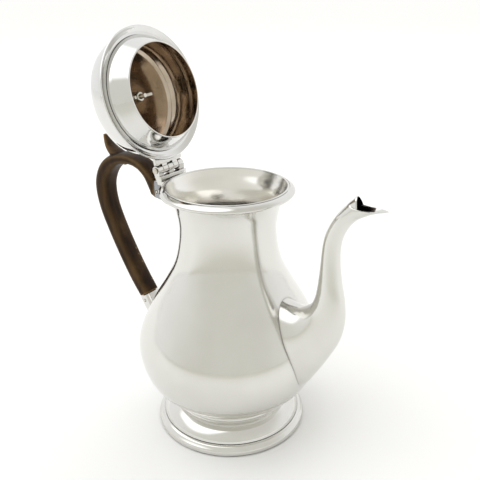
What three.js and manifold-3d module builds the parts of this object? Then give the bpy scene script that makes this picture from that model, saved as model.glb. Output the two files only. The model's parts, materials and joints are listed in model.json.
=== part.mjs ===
// Silver coffee pot with a hinged lid, a carved wooden handle and a swan-neck spout.
// Millimetres, +Z up. The body turns about the Z axis, the spout points to +X and the handle to -X.
// The lid stands open, leaning back on its hinge, which is how the pot rests.

import * as THREE from 'three';
import { mergeVertices } from 'three/addons/utils/BufferGeometryUtils.js';
import Module from 'manifold-3d';

const wasm = await Module();
wasm.setup();

// ---------------------------------------------------------------- driving dimensions

const GAP = 0.3;                 // left between neighbouring pieces
const WALL = 1.2;                // thickness of the raised silver sheet
const AROUND = 40;               // facets round the body, foot and lid
const AROUND_SMALL = 16;         // facets round pins, the finial and the nut

const FOOT_RADIUS = 50;
const BASE_WIRE_HEIGHT = 6.7;
const COLLAR_RADIUS = 38.2;
const COLLAR_LOW = 17.6;
const COLLAR_HIGH = 20.3;

const RIM_RADIUS = 41.9;
const MOUTH_TOP = 165.3;
const MOUTH_EDGE_RADIUS = 38.1;

const LID_RADIUS = 42;
const LID_PLANE = 164.2;         // height of the lid's widest circle on the shut pot
const FLANGE_TOP = 2.3;          // heights on the lid are measured from that circle
const DOME_HEIGHT = 23.4;
const BEZEL_DEPTH = 10.7;
const BEZEL_ROOT_RADIUS = 36.2;
const BEZEL_MOUTH_RADIUS = 29.7;
const OPEN_ANGLE = 106.85 * Math.PI / 180;

const HINGE_X = -46.9;
const HINGE_Z = 169.1;
const HINGE_HALF_WIDTH = 12.2;
const KNUCKLES = 5;
const BARREL_RADIUS = 2.9;
const PIN_RADIUS = 1.1;
const PIN_HEAD_RADIUS = 1.9;

const STRAINER_HOLE_RADIUS = 1.7; // the coffee runs into the spout through rows of small holes
const STRAINER_HOLES_ACROSS = 4;
const STRAINER_PITCH = 6;
const STRAINER_ROW_PITCH = 7;
const STRAINER_MIDDLE = 71;
const HOLE_SIDES = 8;

const SOCKET_HALF_WIDTH = 7.1;
const SOCKET_PIN_RADIUS = 0.9;
const GRIP_HALF_WIDTH = 7;
const UPPER_JOINT_X = -54.3;     // mouth of the upper socket

const BOLT_RADIUS = 1.5;
const BOLT_LOW = 7.5;
const WING_SPAN = 18;

const SILVER = { color: 0xd9d9d4, roughness: 0.12, metalness: 1.0 };
const WOOD = { color: 0x3b2415, roughness: 0.45, metalness: 0.0 };

// ---------------------------------------------------------------- solids and how they are cut

function weld(geometry) {
  geometry.deleteAttribute('normal');
  geometry.deleteAttribute('uv');
  const merged = mergeVertices(geometry, 1e-4);
  const index = Array.from(merged.index.array);
  const kept = [];
  for (let i = 0; i < index.length; i += 3) {
    const [a, b, c] = index.slice(i, i + 3);
    if (a !== b && b !== c && c !== a) kept.push(a, b, c);
  }
  merged.setIndex(kept);
  return merged;
}

function signedVolume(geometry) {
  const position = geometry.attributes.position;
  const index = geometry.index.array;
  const [a, b, c] = [new THREE.Vector3(), new THREE.Vector3(), new THREE.Vector3()];
  let volume = 0;
  for (let i = 0; i < index.length; i += 3) {
    a.fromBufferAttribute(position, index[i]);
    b.fromBufferAttribute(position, index[i + 1]);
    c.fromBufferAttribute(position, index[i + 2]);
    volume += a.dot(b.cross(c)) / 6;
  }
  return volume;
}

function solid(geometry) {
  const welded = weld(geometry);
  if (signedVolume(welded) < 0) {
    const flipped = Array.from(welded.index.array);
    for (let i = 0; i < flipped.length; i += 3) {
      [flipped[i], flipped[i + 1]] = [flipped[i + 1], flipped[i]];
    }
    welded.setIndex(flipped);
  }
  return new wasm.Manifold(new wasm.Mesh({
    numProp: 3,
    vertProperties: new Float32Array(welded.attributes.position.array),
    triVerts: new Uint32Array(welded.index.array),
  }));
}

function geometryOf(manifold) {
  const mesh = manifold.getMesh();
  const geometry = new THREE.BufferGeometry();
  geometry.setAttribute('position', new THREE.BufferAttribute(new Float32Array(mesh.vertProperties), 3));
  geometry.setIndex(Array.from(mesh.triVerts));
  geometry.computeVertexNormals();
  return geometry;
}

// A profile is a list of [radius, height]. It closes on itself, or starts and ends on the axis.
function turned(profile, sides = AROUND) {
  const points = profile.map(([radius, height]) => new THREE.Vector2(radius, height));
  const onAxis = profile[0][0] === 0 && profile[profile.length - 1][0] === 0;
  if (!onAxis) points.push(points[0].clone());
  const geometry = new THREE.LatheGeometry(points, sides);
  geometry.rotateX(Math.PI / 2);
  return solid(geometry);
}

function smooth(points, steps) {
  const curve = new THREE.SplineCurve(points.map(([x, y]) => new THREE.Vector2(x, y)));
  return curve.getPoints(steps).map((point) => [point.x, point.y]);
}

// Moves a profile sideways, to the left of its own direction of travel.
function offset(profile, distance) {
  return profile.map(([x, y], i) => {
    const [x0, y0] = profile[Math.max(i - 1, 0)];
    const [x1, y1] = profile[Math.min(i + 1, profile.length - 1)];
    const length = Math.hypot(x1 - x0, y1 - y0);
    return [x - (y1 - y0) / length * distance, y + (x1 - x0) / length * distance];
  });
}

function rod(radius, from, to, sides = AROUND_SMALL) {
  const axis = new THREE.Vector3().subVectors(to, from);
  const geometry = new THREE.CylinderGeometry(radius, radius, axis.length(), sides);
  geometry.applyQuaternion(new THREE.Quaternion().setFromUnitVectors(
    new THREE.Vector3(0, 1, 0), axis.clone().normalize()));
  geometry.translate(...from.clone().add(to).multiplyScalar(0.5).toArray());
  return solid(geometry);
}

function crossRod(radius, x, z, halfLength, sides = AROUND_SMALL) {
  return rod(radius, new THREE.Vector3(x, -halfLength, z), new THREE.Vector3(x, halfLength, z), sides);
}

function block([x0, y0, z0], [x1, y1, z1]) {
  const geometry = new THREE.BoxGeometry(x1 - x0, y1 - y0, z1 - z0);
  geometry.translate((x0 + x1) / 2, (y0 + y1) / 2, (z0 + z1) / 2);
  return solid(geometry);
}

// A plate cut to an outline of [x, z] points and as thick as the two y values say.
function plate(outline, y0, y1) {
  const shape = new THREE.Shape(outline.map(([x, z]) => new THREE.Vector2(x, z)));
  const geometry = new THREE.ExtrudeGeometry(shape, { depth: y1 - y0, bevelEnabled: false });
  geometry.rotateX(Math.PI / 2);
  geometry.translate(0, y1, 0);
  return solid(geometry);
}

// Skins a stack of rings, each a list of Vector3, and closes both ends on their middles.
function skinned(rings) {
  const sides = rings[0].length;
  const positions = rings.flat().flatMap((point) => point.toArray());
  const index = [];
  for (let ring = 0; ring + 1 < rings.length; ring += 1) {
    for (let i = 0; i < sides; i += 1) {
      const a = ring * sides + i;
      const b = ring * sides + (i + 1) % sides;
      index.push(a, b, a + sides, b, b + sides, a + sides);
    }
  }
  const addEnd = (ring, forwards) => {
    const middle = new THREE.Vector3();
    rings[ring].forEach((point) => middle.addScaledVector(point, 1 / sides));
    const centre = positions.length / 3;
    positions.push(...middle.toArray());
    for (let i = 0; i < sides; i += 1) {
      const a = ring * sides + i;
      const b = ring * sides + (i + 1) % sides;
      index.push(centre, forwards ? a : b, forwards ? b : a);
    }
  };
  addEnd(0, false);
  addEnd(rings.length - 1, true);
  const geometry = new THREE.BufferGeometry();
  geometry.setAttribute('position', new THREE.Float32BufferAttribute(positions, 3));
  geometry.setIndex(index);
  return solid(geometry);
}

// A closed ring between two points of the XZ plane, and as wide in Y as its half width says.
// Squareness 1 is an ellipse; smaller values fill out the corners.
function ring({ from, to, halfWidth, squareness = 1, sides = 16 }) {
  const middle = [(from[0] + to[0]) / 2, (from[1] + to[1]) / 2];
  const half = [(to[0] - from[0]) / 2, (to[1] - from[1]) / 2];
  const power = (value) => Math.sign(value) * Math.abs(value) ** squareness;
  return Array.from({ length: sides }, (unused, i) => {
    const angle = i / sides * 2 * Math.PI;
    const along = power(Math.cos(angle));
    const across = power(Math.sin(angle));
    return new THREE.Vector3(middle[0] + half[0] * along, halfWidth * across, middle[1] + half[1] * along);
  });
}

// A bar that follows stations {x, z, thick, halfWidth}, square to the path at each one.
// An end station may state its own direction as turn, in degrees from +X.
function swept(stations, squareness, stepsBetween) {
  const path = new THREE.SplineCurve(stations.map(({ x, z }) => new THREE.Vector2(x, z)));
  const spans = stations.length - 1;
  const rings = [];
  for (let step = 0; step <= spans * stepsBetween; step += 1) {
    const place = step / stepsBetween;
    const low = Math.min(Math.floor(place), spans - 1);
    const mix = (key) => THREE.MathUtils.lerp(stations[low][key], stations[low + 1][key], place - low);
    const point = path.getPoint(place / spans);
    const tangent = path.getTangent(place / spans);
    const station = Number.isInteger(place) ? stations[place] : {};
    if (station.turn !== undefined) {
      tangent.set(Math.cos(station.turn * Math.PI / 180), Math.sin(station.turn * Math.PI / 180));
    }
    const reach = [-tangent.y * mix('thick') / 2, tangent.x * mix('thick') / 2];
    rings.push(ring({
      from: [point.x - reach[0], point.y - reach[1]],
      to: [point.x + reach[0], point.y + reach[1]],
      halfWidth: mix('halfWidth'),
      squareness,
    }));
  }
  return skinned(rings);
}

// ---------------------------------------------------------------- body and foot

const bodyOutside = [
  [0, 12.5],
  ...smooth([[18, 13.8], [36.9, 20], [52.4, 33.5], [59.2, 50], [59, 66], [50.8, 84.5], [40.3, 103],
    [33.4, 118], [30.5, 137], [32.4, 151.5], [36.4, 160.6]], 16),
  [MOUTH_EDGE_RADIUS, MOUTH_TOP],
];

function bodySolid(extra) {
  const outside = offset(bodyOutside, -extra);
  outside[0] = [0, bodyOutside[0][1] - extra];
  return turned([...outside, [0, MOUTH_TOP + 1]]);
}

const bodyClearance = bodySolid(GAP);

function bodyShell() {
  const inside = offset(bodyOutside, WALL).reverse();
  inside[0] = [MOUTH_EDGE_RADIUS - WALL, MOUTH_TOP];
  inside[inside.length - 1] = [0, bodyOutside[0][1] + WALL];
  let shell = turned([...bodyOutside, ...inside]);
  const rowsEachWay = 2;
  for (let row = -rowsEachWay; row <= rowsEachWay; row += 1) {
    const holes = STRAINER_HOLES_ACROSS - Math.abs(row) % 2;
    for (let i = 0; i < holes; i += 1) {
      const y = (i - (holes - 1) / 2) * STRAINER_PITCH;
      const z = STRAINER_MIDDLE + row * STRAINER_ROW_PITCH;
      const [inner, outer] = [new THREE.Vector3(25, y, z), new THREE.Vector3(75, y, z)];
      shell = shell.subtract(rod(STRAINER_HOLE_RADIUS, inner, outer, HOLE_SIDES));
    }
  }
  return shell;
}

function rimRing() {
  const inner = MOUTH_EDGE_RADIUS + GAP;
  return turned([
    [37.2, 159.9], [40, 160.4], [41.5, 161.4], [RIM_RADIUS, 162.4], [41.4, 163.3],
    [40, 164.3], [inner, 165], [inner, 163],
  ]);
}

// The ring of wire is cut away behind, where the hinge is let into it.
function hingeInlet(halfWidth) {
  return block([-46, -halfWidth, 155], [-30, halfWidth, 170]);
}

function rimMoulding() {
  return rimRing().subtract(hingeInlet(HINGE_HALF_WIDTH + GAP));
}

function footCollar() {
  const bulge = COLLAR_RADIUS - 0.3;
  return turned([
    [34.6, COLLAR_LOW], [37, COLLAR_LOW], [bulge, 18.1], [COLLAR_RADIUS, 18.9], [bulge, 19.8],
    [37.7, COLLAR_HIGH], [37.4, COLLAR_HIGH - 0.2],
  ]);
}

function footSkirt() {
  const outside = smooth([[46, BASE_WIRE_HEIGHT + GAP], [45, 9.6], [42.2, 13], [39.3, 15.2], [37.2, 16.4],
    [36.6, COLLAR_LOW - GAP]], 6);
  return turned([...outside, ...offset(outside, WALL).reverse()]);
}

function footBaseWire() {
  return turned([
    [44.4, 0], [49.2, 0], [49.8, 0.8], [FOOT_RADIUS, 2.4], [49.6, 3.8], [48.8, 4.7],
    [48.3, 5.3], [46.4, BASE_WIRE_HEIGHT], [44.6, BASE_WIRE_HEIGHT - 0.2],
  ]);
}

// ---------------------------------------------------------------- spout

// Each station runs from the edge that faces the pot to the edge that faces away from it.
const spoutStations = [
  { from: [34, 101.5], to: [44, 38], halfWidth: 18 },
  { from: [50, 98.3], to: [57.5, 43.5], halfWidth: 16 },
  { from: [57.5, 99.6], to: [66.5, 56], halfWidth: 13.8 },
  { from: [62.3, 104], to: [74.5, 70], halfWidth: 11.6 },
  { from: [64.7, 110], to: [80.3, 82], halfWidth: 9.8 },
  { from: [65.8, 117], to: [82.9, 94], halfWidth: 8.5 },
  { from: [66.4, 124], to: [82.5, 106], halfWidth: 7.5 },
  { from: [67, 132], to: [80, 119], halfWidth: 6.5 },
  { from: [67.5, 140], to: [78.3, 132.5], halfWidth: 5.7 },
  { from: [69, 147.5], to: [78.6, 144], halfWidth: 5.3 },
  { from: [72.6, 155], to: [81.5, 152.8], halfWidth: 5.2 },
  { from: [77.8, 162], to: [87, 160.3], halfWidth: 5.2 },
  { from: [83.3, 168], to: [94, 165], halfWidth: 5.1 },
  { from: [88.2, 174.2], to: [105.3, 169.1], halfWidth: 4.6 },
];

function spoutRings(wall, reachPastEnds) {
  return spoutStations.map((station, i) => {
    const [x0, z0] = station.from;
    const [x1, z1] = station.to;
    const length = Math.hypot(x1 - x0, z1 - z0);
    const shift = [(x1 - x0) / length * wall, (z1 - z0) / length * wall];
    const points = ring({
      from: [x0 + shift[0], z0 + shift[1]],
      to: [x1 - shift[0], z1 - shift[1]],
      halfWidth: station.halfWidth - wall,
    });
    const isMouth = i === spoutStations.length - 1;
    if (isMouth) {
      const dip = 2.6;           // the mouth is cut down on both sides between its lips
      points.forEach((point) => {
        point.z -= dip * (point.y / (station.halfWidth - wall)) ** 2;
        point.z += reachPastEnds;
      });
    }
    return points;
  });
}

function spout() {
  return skinned(spoutRings(0, 0))
    .subtract(skinned(spoutRings(WALL, 1)))
    .subtract(bodyClearance);
}

// ---------------------------------------------------------------- handle and its sockets

const gripStations = [
  { x: -71.7, z: 71.6, thick: 9.2, halfWidth: 6.8, turn: 120 },
  { x: -79.2, z: 82.4, thick: 9.2, halfWidth: GRIP_HALF_WIDTH },
  { x: -87.6, z: 96.5, thick: 9.2, halfWidth: GRIP_HALF_WIDTH },
  { x: -97, z: 114.6, thick: 9.4, halfWidth: GRIP_HALF_WIDTH },
  { x: -104.2, z: 132, thick: 10, halfWidth: GRIP_HALF_WIDTH },
  { x: -106.4, z: 147, thick: 11, halfWidth: GRIP_HALF_WIDTH },
  { x: -103, z: 158.5, thick: 11, halfWidth: GRIP_HALF_WIDTH },
  { x: -96, z: 166.3, thick: 9.6, halfWidth: GRIP_HALF_WIDTH },
  { x: -87.4, z: 170.4, thick: 7.6, halfWidth: 6.9 },
  { x: -78, z: 171.3, thick: 6.6, halfWidth: 6.8 },
  { x: -69, z: 169, thick: 6.2, halfWidth: 6.7 },
  { x: -62.2, z: 163.6, thick: 6.6, halfWidth: 6.7 },
  { x: -57.2, z: 157.6, thick: 7.8, halfWidth: 6.6 },
  { x: -54.6, z: 154.5, thick: 11.2, halfWidth: 6.6, turn: 0 },
];

const spurStations = [
  { x: -86, z: 169.5, thick: 8, halfWidth: 5.6 },
  { x: -93.4, z: 173.2, thick: 5, halfWidth: 5 },
  { x: -99, z: 177.4, thick: 3.2, halfWidth: 3.8 },
  { x: -103.2, z: 183.2, thick: 0.9, halfWidth: 1.2 },
];

const upperPin = { x: -51.9, z: 153 };
const lowerPin = { x: -69.8, z: 68.2 };
const pinHole = ({ x, z }) => crossRod(SOCKET_PIN_RADIUS + GAP, x, z, SOCKET_HALF_WIDTH + 5, HOLE_SIDES);
const lowerTenon = { middle: [-69.9, 68.5], along: [0.5, -0.866], halfLength: 4.2, halfThick: 2.8 };

// A bar square to the XZ plane, set along a slanting direction.
function slantedBar({ middle, along, halfLength, halfThick }, halfWidth, extra) {
  const corner = (s, t) => [
    middle[0] + along[0] * s * (halfLength + extra) - along[1] * t * (halfThick + extra),
    middle[1] + along[1] * s * (halfLength + extra) + along[0] * t * (halfThick + extra),
  ];
  return plate([corner(-1, -1), corner(1, -1), corner(1, 1), corner(-1, 1)], -halfWidth - extra, halfWidth + extra);
}

const TENON_HALF_WIDTH = 4;
const upperTenon = (extra) => block(
  [-56, -TENON_HALF_WIDTH - extra, 151.5 - extra],
  [-50.2 + extra, TENON_HALF_WIDTH + extra, 157.5 + extra]);

function handleGrip() {
  const upperEnd = block([UPPER_JOINT_X - GAP, -12, 140], [-40, 12, 175]);
  return swept(gripStations, 0.62, 2)
    .subtract(upperEnd)
    .add(swept(spurStations, 0.9, 3))
    .add(upperTenon(0))
    .add(slantedBar(lowerTenon, TENON_HALF_WIDTH, 0))
    .subtract(pinHole(upperPin))
    .subtract(pinHole(lowerPin));
}

function upperSocket() {
  const outline = [
    [UPPER_JOINT_X, 148.7], [-30, 144.7], [-30, 158], [-35.6, 159.1], [-47, 159.1],
    [-49, 160.1], [UPPER_JOINT_X, 160.3],
  ];
  return plate(outline, -SOCKET_HALF_WIDTH, SOCKET_HALF_WIDTH)
    .subtract(bodyClearance)
    .subtract(upperTenon(GAP))
    .subtract(pinHole(upperPin));
}

function lowerSocket() {
  const stations = [
    { x: -71.5, z: 71.2, thick: 9.8, halfWidth: SOCKET_HALF_WIDTH, turn: -60 },
    { x: -67.6, z: 64.8, thick: 10, halfWidth: SOCKET_HALF_WIDTH },
    { x: -62.6, z: 59.8, thick: 11, halfWidth: 7.5 },
    { x: -54, z: 55, thick: 13.5, halfWidth: 8 },
  ];
  return swept(stations, 0.62, 2)
    .subtract(bodyClearance)
    .subtract(slantedBar(lowerTenon, TENON_HALF_WIDTH, GAP))
    .subtract(pinHole(lowerPin));
}

function socketPin({ x, z }) {
  return crossRod(SOCKET_PIN_RADIUS, x, z, SOCKET_HALF_WIDTH + 0.3, 12);
}

// ---------------------------------------------------------------- hinge

const knucklePitch = 2 * HINGE_HALF_WIDTH / KNUCKLES;
const knuckleSpan = (i) => [
  -HINGE_HALF_WIDTH + i * knucklePitch + GAP / 2,
  -HINGE_HALF_WIDTH + (i + 1) * knucklePitch - GAP / 2,
];
const pinBore = crossRod(PIN_RADIUS + GAP, HINGE_X, HINGE_Z, HINGE_HALF_WIDTH + 2);

function barrelPiece(i) {
  const [y0, y1] = knuckleSpan(i);
  return rod(BARREL_RADIUS, new THREE.Vector3(HINGE_X, y0, HINGE_Z), new THREE.Vector3(HINGE_X, y1, HINGE_Z));
}

function hingeBodyLeaf() {
  const leafTop = HINGE_Z - BARREL_RADIUS - GAP - 0.1;
  let leaf = block([-46, -HINGE_HALF_WIDTH, 160.2], [-LID_RADIUS - GAP, HINGE_HALF_WIDTH, leafTop])
    .add(block([-43, -HINGE_HALF_WIDTH, 160.6], [-40.5, HINGE_HALF_WIDTH, 162.8]))
    .add(rimRing().intersect(hingeInlet(HINGE_HALF_WIDTH)));
  for (let i = 0; i < KNUCKLES; i += 2) {
    const [y0, y1] = knuckleSpan(i);
    const web = [[-48.6, HINGE_Z - 2], [-46, 161], [-44, 161], [-44, HINGE_Z], [HINGE_X, HINGE_Z]];
    leaf = leaf.add(barrelPiece(i)).add(plate(web, y0, y1));
  }
  return leaf.subtract(pinBore);
}

function hingePin() {
  const head = HINGE_HALF_WIDTH + 0.9;
  const [inner, outer] = [HINGE_HALF_WIDTH + 0.15, head];
  const headAt = (side) => rod(PIN_HEAD_RADIUS,
    new THREE.Vector3(HINGE_X, side * inner, HINGE_Z), new THREE.Vector3(HINGE_X, side * outer, HINGE_Z));
  return crossRod(PIN_RADIUS, HINGE_X, HINGE_Z, HINGE_HALF_WIDTH + 0.5).add(headAt(-1)).add(headAt(1));
}

// ---------------------------------------------------------------- lid, drawn shut about its widest circle

function lidFlange() {
  const inner = BEZEL_ROOT_RADIUS + GAP;
  return turned([
    [inner, 1.5], [38.2, 1.4], [40, 0.55], [41.5, -0.5], [LID_RADIUS, 0.2], [41.8, 0.9],
    [41, 1.7], [39.8, FLANGE_TOP], [inner, FLANGE_TOP],
  ]);
}

function lidDome() {
  const base = FLANGE_TOP + GAP;
  const wall = smooth([[39.2, base], [39.2, 6], [38.3, 11], [36.7, 15.2], [34.3, 18.4]], 5);
  const cap = smooth([[34.3, 18.4], [31, 20.4], [24, 22], [14, 23.1], [2.6, DOME_HEIGHT]], 5).slice(1);
  const outside = [...wall, ...cap];
  const inside = offset(outside, WALL).reverse();
  inside[inside.length - 1][1] = base;
  inside[0][0] = outside[outside.length - 1][0];
  return turned([...outside, ...inside]);
}

function lidBezel() {
  const wall = 1;
  const outside = [
    [BEZEL_MOUTH_RADIUS, -BEZEL_DEPTH], [BEZEL_MOUTH_RADIUS + 0.3, -BEZEL_DEPTH + 0.8],
    [35.2, -1.8], [BEZEL_ROOT_RADIUS, 0.3], [BEZEL_ROOT_RADIUS, FLANGE_TOP],
  ];
  const inside = outside.map(([radius, height]) => [radius - wall, height]).reverse();
  return turned([...outside, ...inside]);
}

function hingeLidLeaf() {
  const axisHeight = HINGE_Z - LID_PLANE;
  const bottom = FLANGE_TOP + GAP;
  let leaf = block([-43.6, -HINGE_HALF_WIDTH, bottom], [-36, HINGE_HALF_WIDTH, axisHeight]);
  const bore = crossRod(PIN_RADIUS + GAP, HINGE_X, axisHeight, HINGE_HALF_WIDTH + 2);
  for (let i = 1; i < KNUCKLES; i += 2) {
    const [y0, y1] = knuckleSpan(i);
    const tongue = [[HINGE_X, bottom], [-42, bottom], [-42, axisHeight], [HINGE_X, axisHeight]];
    leaf = leaf.add(plate(tongue, y0, y1));
    leaf = leaf.add(rod(BARREL_RADIUS,
      new THREE.Vector3(HINGE_X, y0, axisHeight), new THREE.Vector3(HINGE_X, y1, axisHeight)));
  }
  return leaf
    .subtract(turned([[0, -20], [39.7, -20], [39.7, 30], [0, 30]]))
    .subtract(bore);
}

function finialCollar() {
  return turned([
    [BOLT_RADIUS + GAP, 23.8], [6.4, 23.5], [6.8, 24.4], [5.6, 25.3], [4.2, 26.2], [4.4, 27], [BOLT_RADIUS + GAP, 27],
  ], AROUND_SMALL);
}

function finialKnop() {
  const outside = smooth([[3.6, 27.3], [5, 28.6], [4.3, 30.4], [6.3, 34], [7.2, 37.6], [6.2, 41.6], [3.2, 44.6]], 9);
  return turned([[BOLT_RADIUS + GAP, 27.3], ...outside, [BOLT_RADIUS + GAP, 44.6]], AROUND_SMALL);
}

function finialBolt() {
  return turned([
    [0, BOLT_LOW], [BOLT_RADIUS, BOLT_LOW], [BOLT_RADIUS, 44.9], [3.3, 44.9], [3.4, 45.7], [2.4, 46.9], [0, 47.4],
  ], AROUND_SMALL);
}

function finialWasher() {
  return turned([[BOLT_RADIUS + GAP, 21], [5.6, 21], [5.6, 21.7], [BOLT_RADIUS + GAP, 21.7]], AROUND_SMALL);
}

function wingNut() {
  const halfSpan = WING_SPAN / 2;
  const bossTop = 20.7;
  const bossLow = 11.5;
  const boss = turned([[0, bossLow], [3, bossLow], [4.2, bossTop], [0, bossTop]], AROUND_SMALL);
  const wing = new THREE.Shape();
  wing.moveTo(0, bossTop - 1.5);
  wing.quadraticCurveTo(halfSpan * 0.8, bossTop - 2, halfSpan, 12);
  wing.quadraticCurveTo(halfSpan, 8.2, halfSpan - 2.4, 8.4);
  wing.quadraticCurveTo(halfSpan - 4.6, 9.5, 2, bossLow + 1);
  wing.lineTo(0, bossLow + 1);
  const wingGeometry = new THREE.ExtrudeGeometry(wing, { depth: 2, bevelEnabled: false, curveSegments: 4 });
  wingGeometry.rotateX(Math.PI / 2);
  wingGeometry.rotateZ(Math.PI / 2);
  wingGeometry.translate(-1, 0, 0);
  const otherWing = wingGeometry.clone();
  otherWing.rotateZ(Math.PI);
  const bore = turned([[0, 5], [BOLT_RADIUS + GAP, 5], [BOLT_RADIUS + GAP, 25], [0, 25]], AROUND_SMALL);
  return boss.add(solid(wingGeometry)).add(solid(otherWing)).subtract(bore);
}

// ---------------------------------------------------------------- the pot put together

function piece(name, manifold, finish) {
  const mesh = new THREE.Mesh(geometryOf(manifold), new THREE.MeshStandardMaterial(finish));
  mesh.name = name;
  return mesh;
}

const pot = new THREE.Group();
pot.add(
  piece('body_shell', bodyShell(), SILVER),
  piece('rim_moulding', rimMoulding(), SILVER),
  piece('foot_collar', footCollar(), SILVER),
  piece('foot_skirt', footSkirt(), SILVER),
  piece('foot_base_wire', footBaseWire(), SILVER),
  piece('spout', spout(), SILVER),
  piece('handle_grip', handleGrip(), WOOD),
  piece('upper_socket', upperSocket(), SILVER),
  piece('lower_socket', lowerSocket(), SILVER),
  piece('upper_socket_pin', socketPin(upperPin), SILVER),
  piece('lower_socket_pin', socketPin(lowerPin), SILVER),
  piece('hinge_body_leaf', hingeBodyLeaf(), SILVER),
  piece('hinge_pin', hingePin(), SILVER),
);

const lid = new THREE.Group();
lid.add(
  piece('lid_flange', lidFlange(), SILVER),
  piece('lid_dome', lidDome(), SILVER),
  piece('lid_bezel', lidBezel(), SILVER),
  piece('hinge_lid_leaf', hingeLidLeaf(), SILVER),
  piece('finial_collar', finialCollar(), SILVER),
  piece('finial_knop', finialKnop(), WOOD),
  piece('finial_bolt', finialBolt(), SILVER),
  piece('finial_washer', finialWasher(), SILVER),
  piece('finial_wing_nut', wingNut(), SILVER),
);
lid.position.set(-HINGE_X, 0, LID_PLANE - HINGE_Z);

const lidOnHinge = new THREE.Group();
lidOnHinge.add(lid);
lidOnHinge.position.set(HINGE_X, 0, HINGE_Z);
lidOnHinge.rotation.y = -OPEN_ANGLE;
pot.add(lidOnHinge);

// The origin is on the resting plane, under the middle of the open pot.
pot.updateMatrixWorld(true);
const extent = new THREE.Box3().setFromObject(pot, true);
pot.position.x = -(extent.min.x + extent.max.x) / 2;
pot.updateMatrixWorld(true);

export default pot;
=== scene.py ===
# Silver coffee pot: the visible pieces, their materials, the camera and the light.
# Shapes are written in millimetres from the body's own axis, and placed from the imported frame.

import json
import math

import bmesh
import bpy
from mathutils import Matrix, Vector


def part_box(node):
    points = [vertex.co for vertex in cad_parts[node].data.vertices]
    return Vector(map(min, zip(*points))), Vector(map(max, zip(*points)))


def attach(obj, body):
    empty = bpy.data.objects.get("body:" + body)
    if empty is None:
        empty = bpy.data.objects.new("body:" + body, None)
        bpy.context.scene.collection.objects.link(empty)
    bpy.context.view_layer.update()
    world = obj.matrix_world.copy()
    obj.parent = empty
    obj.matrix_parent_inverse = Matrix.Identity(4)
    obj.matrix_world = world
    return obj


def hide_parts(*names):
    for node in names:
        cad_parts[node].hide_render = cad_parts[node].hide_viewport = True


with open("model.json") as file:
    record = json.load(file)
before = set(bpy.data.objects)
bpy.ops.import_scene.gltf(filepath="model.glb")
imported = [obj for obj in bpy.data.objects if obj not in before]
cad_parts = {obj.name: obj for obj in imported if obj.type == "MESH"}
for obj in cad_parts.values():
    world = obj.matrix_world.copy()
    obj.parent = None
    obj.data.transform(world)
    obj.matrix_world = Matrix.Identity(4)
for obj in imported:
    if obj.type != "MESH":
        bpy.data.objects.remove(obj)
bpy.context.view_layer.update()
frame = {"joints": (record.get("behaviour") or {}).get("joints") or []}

# ---------------------------------------------------------------- driving dimensions

MM = 0.001
GAP = 0.3                 # between neighbouring pieces
WALL = 1.2                # raised silver sheet
SPOUT_WALL = 0.75         # the spout's sheet, which is thinner
SOLDER_GAP = 0.12         # between the body and what is soldered to it
AROUND = 192              # facets round the body, foot and lid
AROUND_SMALL = 48         # facets round pins and the finial
SMOOTH_ANGLE = math.radians(38)

body_low, body_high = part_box("body_shell")
AXIS_X = (body_low.x + body_high.x) / 2 / MM
MOUTH_TOP = body_high.z / MM
MOUTH_EDGE = 38.1         # radius of the body at its mouth

STRAINER_HOLE = 1.7       # radius of each hole behind the spout
STRAINER_ACROSS = 4       # holes in a full row
STRAINER_ROWS = 2         # rows above the middle one, and below it
STRAINER_PITCH = 6
STRAINER_ROW_PITCH = 7
STRAINER_MIDDLE = 71      # height of the middle row
STRAINER_SIDES = 24

hinge = frame["joints"][0]
HINGE_X = hinge["pos_m"][0] / MM - AXIS_X
HINGE_Z = hinge["pos_m"][2] / MM
OPEN_ANGLE = math.radians(hinge["range_deg"][1])
HINGE_HALF = 12.2         # half the hinge's length, along Y
KNUCKLES = 5
BARREL = 2.9              # radius of the knuckles
PIN = 1.1                 # radius of the pin through them

LID_PLANE = 164.2         # height of the lid's widest circle on the shut pot
LID_RADIUS = 42.0
FLANGE_TOP = 2.3          # from here on, heights above the widest circle
DOME_HEIGHT = 23.4
BEZEL_DEPTH = 10.7
BEZEL_ROOT = 36.2         # radius where the bezel leaves the flange
BEZEL_MOUTH = 29.7        # radius of its open end
BOLT = 1.5                # radius of the finial's bolt

SOCKET_HALF = 7.1         # half the width of the handle's sockets
SOCKET_PIN = 0.9          # radius of the pins through them
TENON_HALF = 4.0          # half the width of the handle's tenons
UPPER_JOINT_X = -54.3     # where wood meets the upper socket
UPPER_TENON_X = (-56, -50.2)
UPPER_TENON_Z = (151.5, 157.5)
LOWER_TENON_MIDDLE = Vector((-69.9, 68.5))
LOWER_TENON_ALONG = Vector((0.5, -0.866))
LOWER_TENON_ACROSS = Vector((0.866, 0.5))
LOWER_TENON_HALF = (4.2, 2.8)
UPPER_PIN = (-51.9, 153.0)
LOWER_PIN = (-69.8, 68.2)
GRAIN_OF_CARVING = 0.45   # size of the voxels that join the grip and its spur

# The lid is drawn shut, with heights from its widest circle, and turned about the hinge.
LID_PLACE = (
    Matrix.Translation((HINGE_X, 0, HINGE_Z))
    @ Matrix.Rotation(-OPEN_ANGLE, 4, "Y")
    @ Matrix.Translation((-HINGE_X, 0, LID_PLANE - HINGE_Z))
)
POT_PLACE = Matrix.Identity(4)


# ---------------------------------------------------------------- outlines

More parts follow.
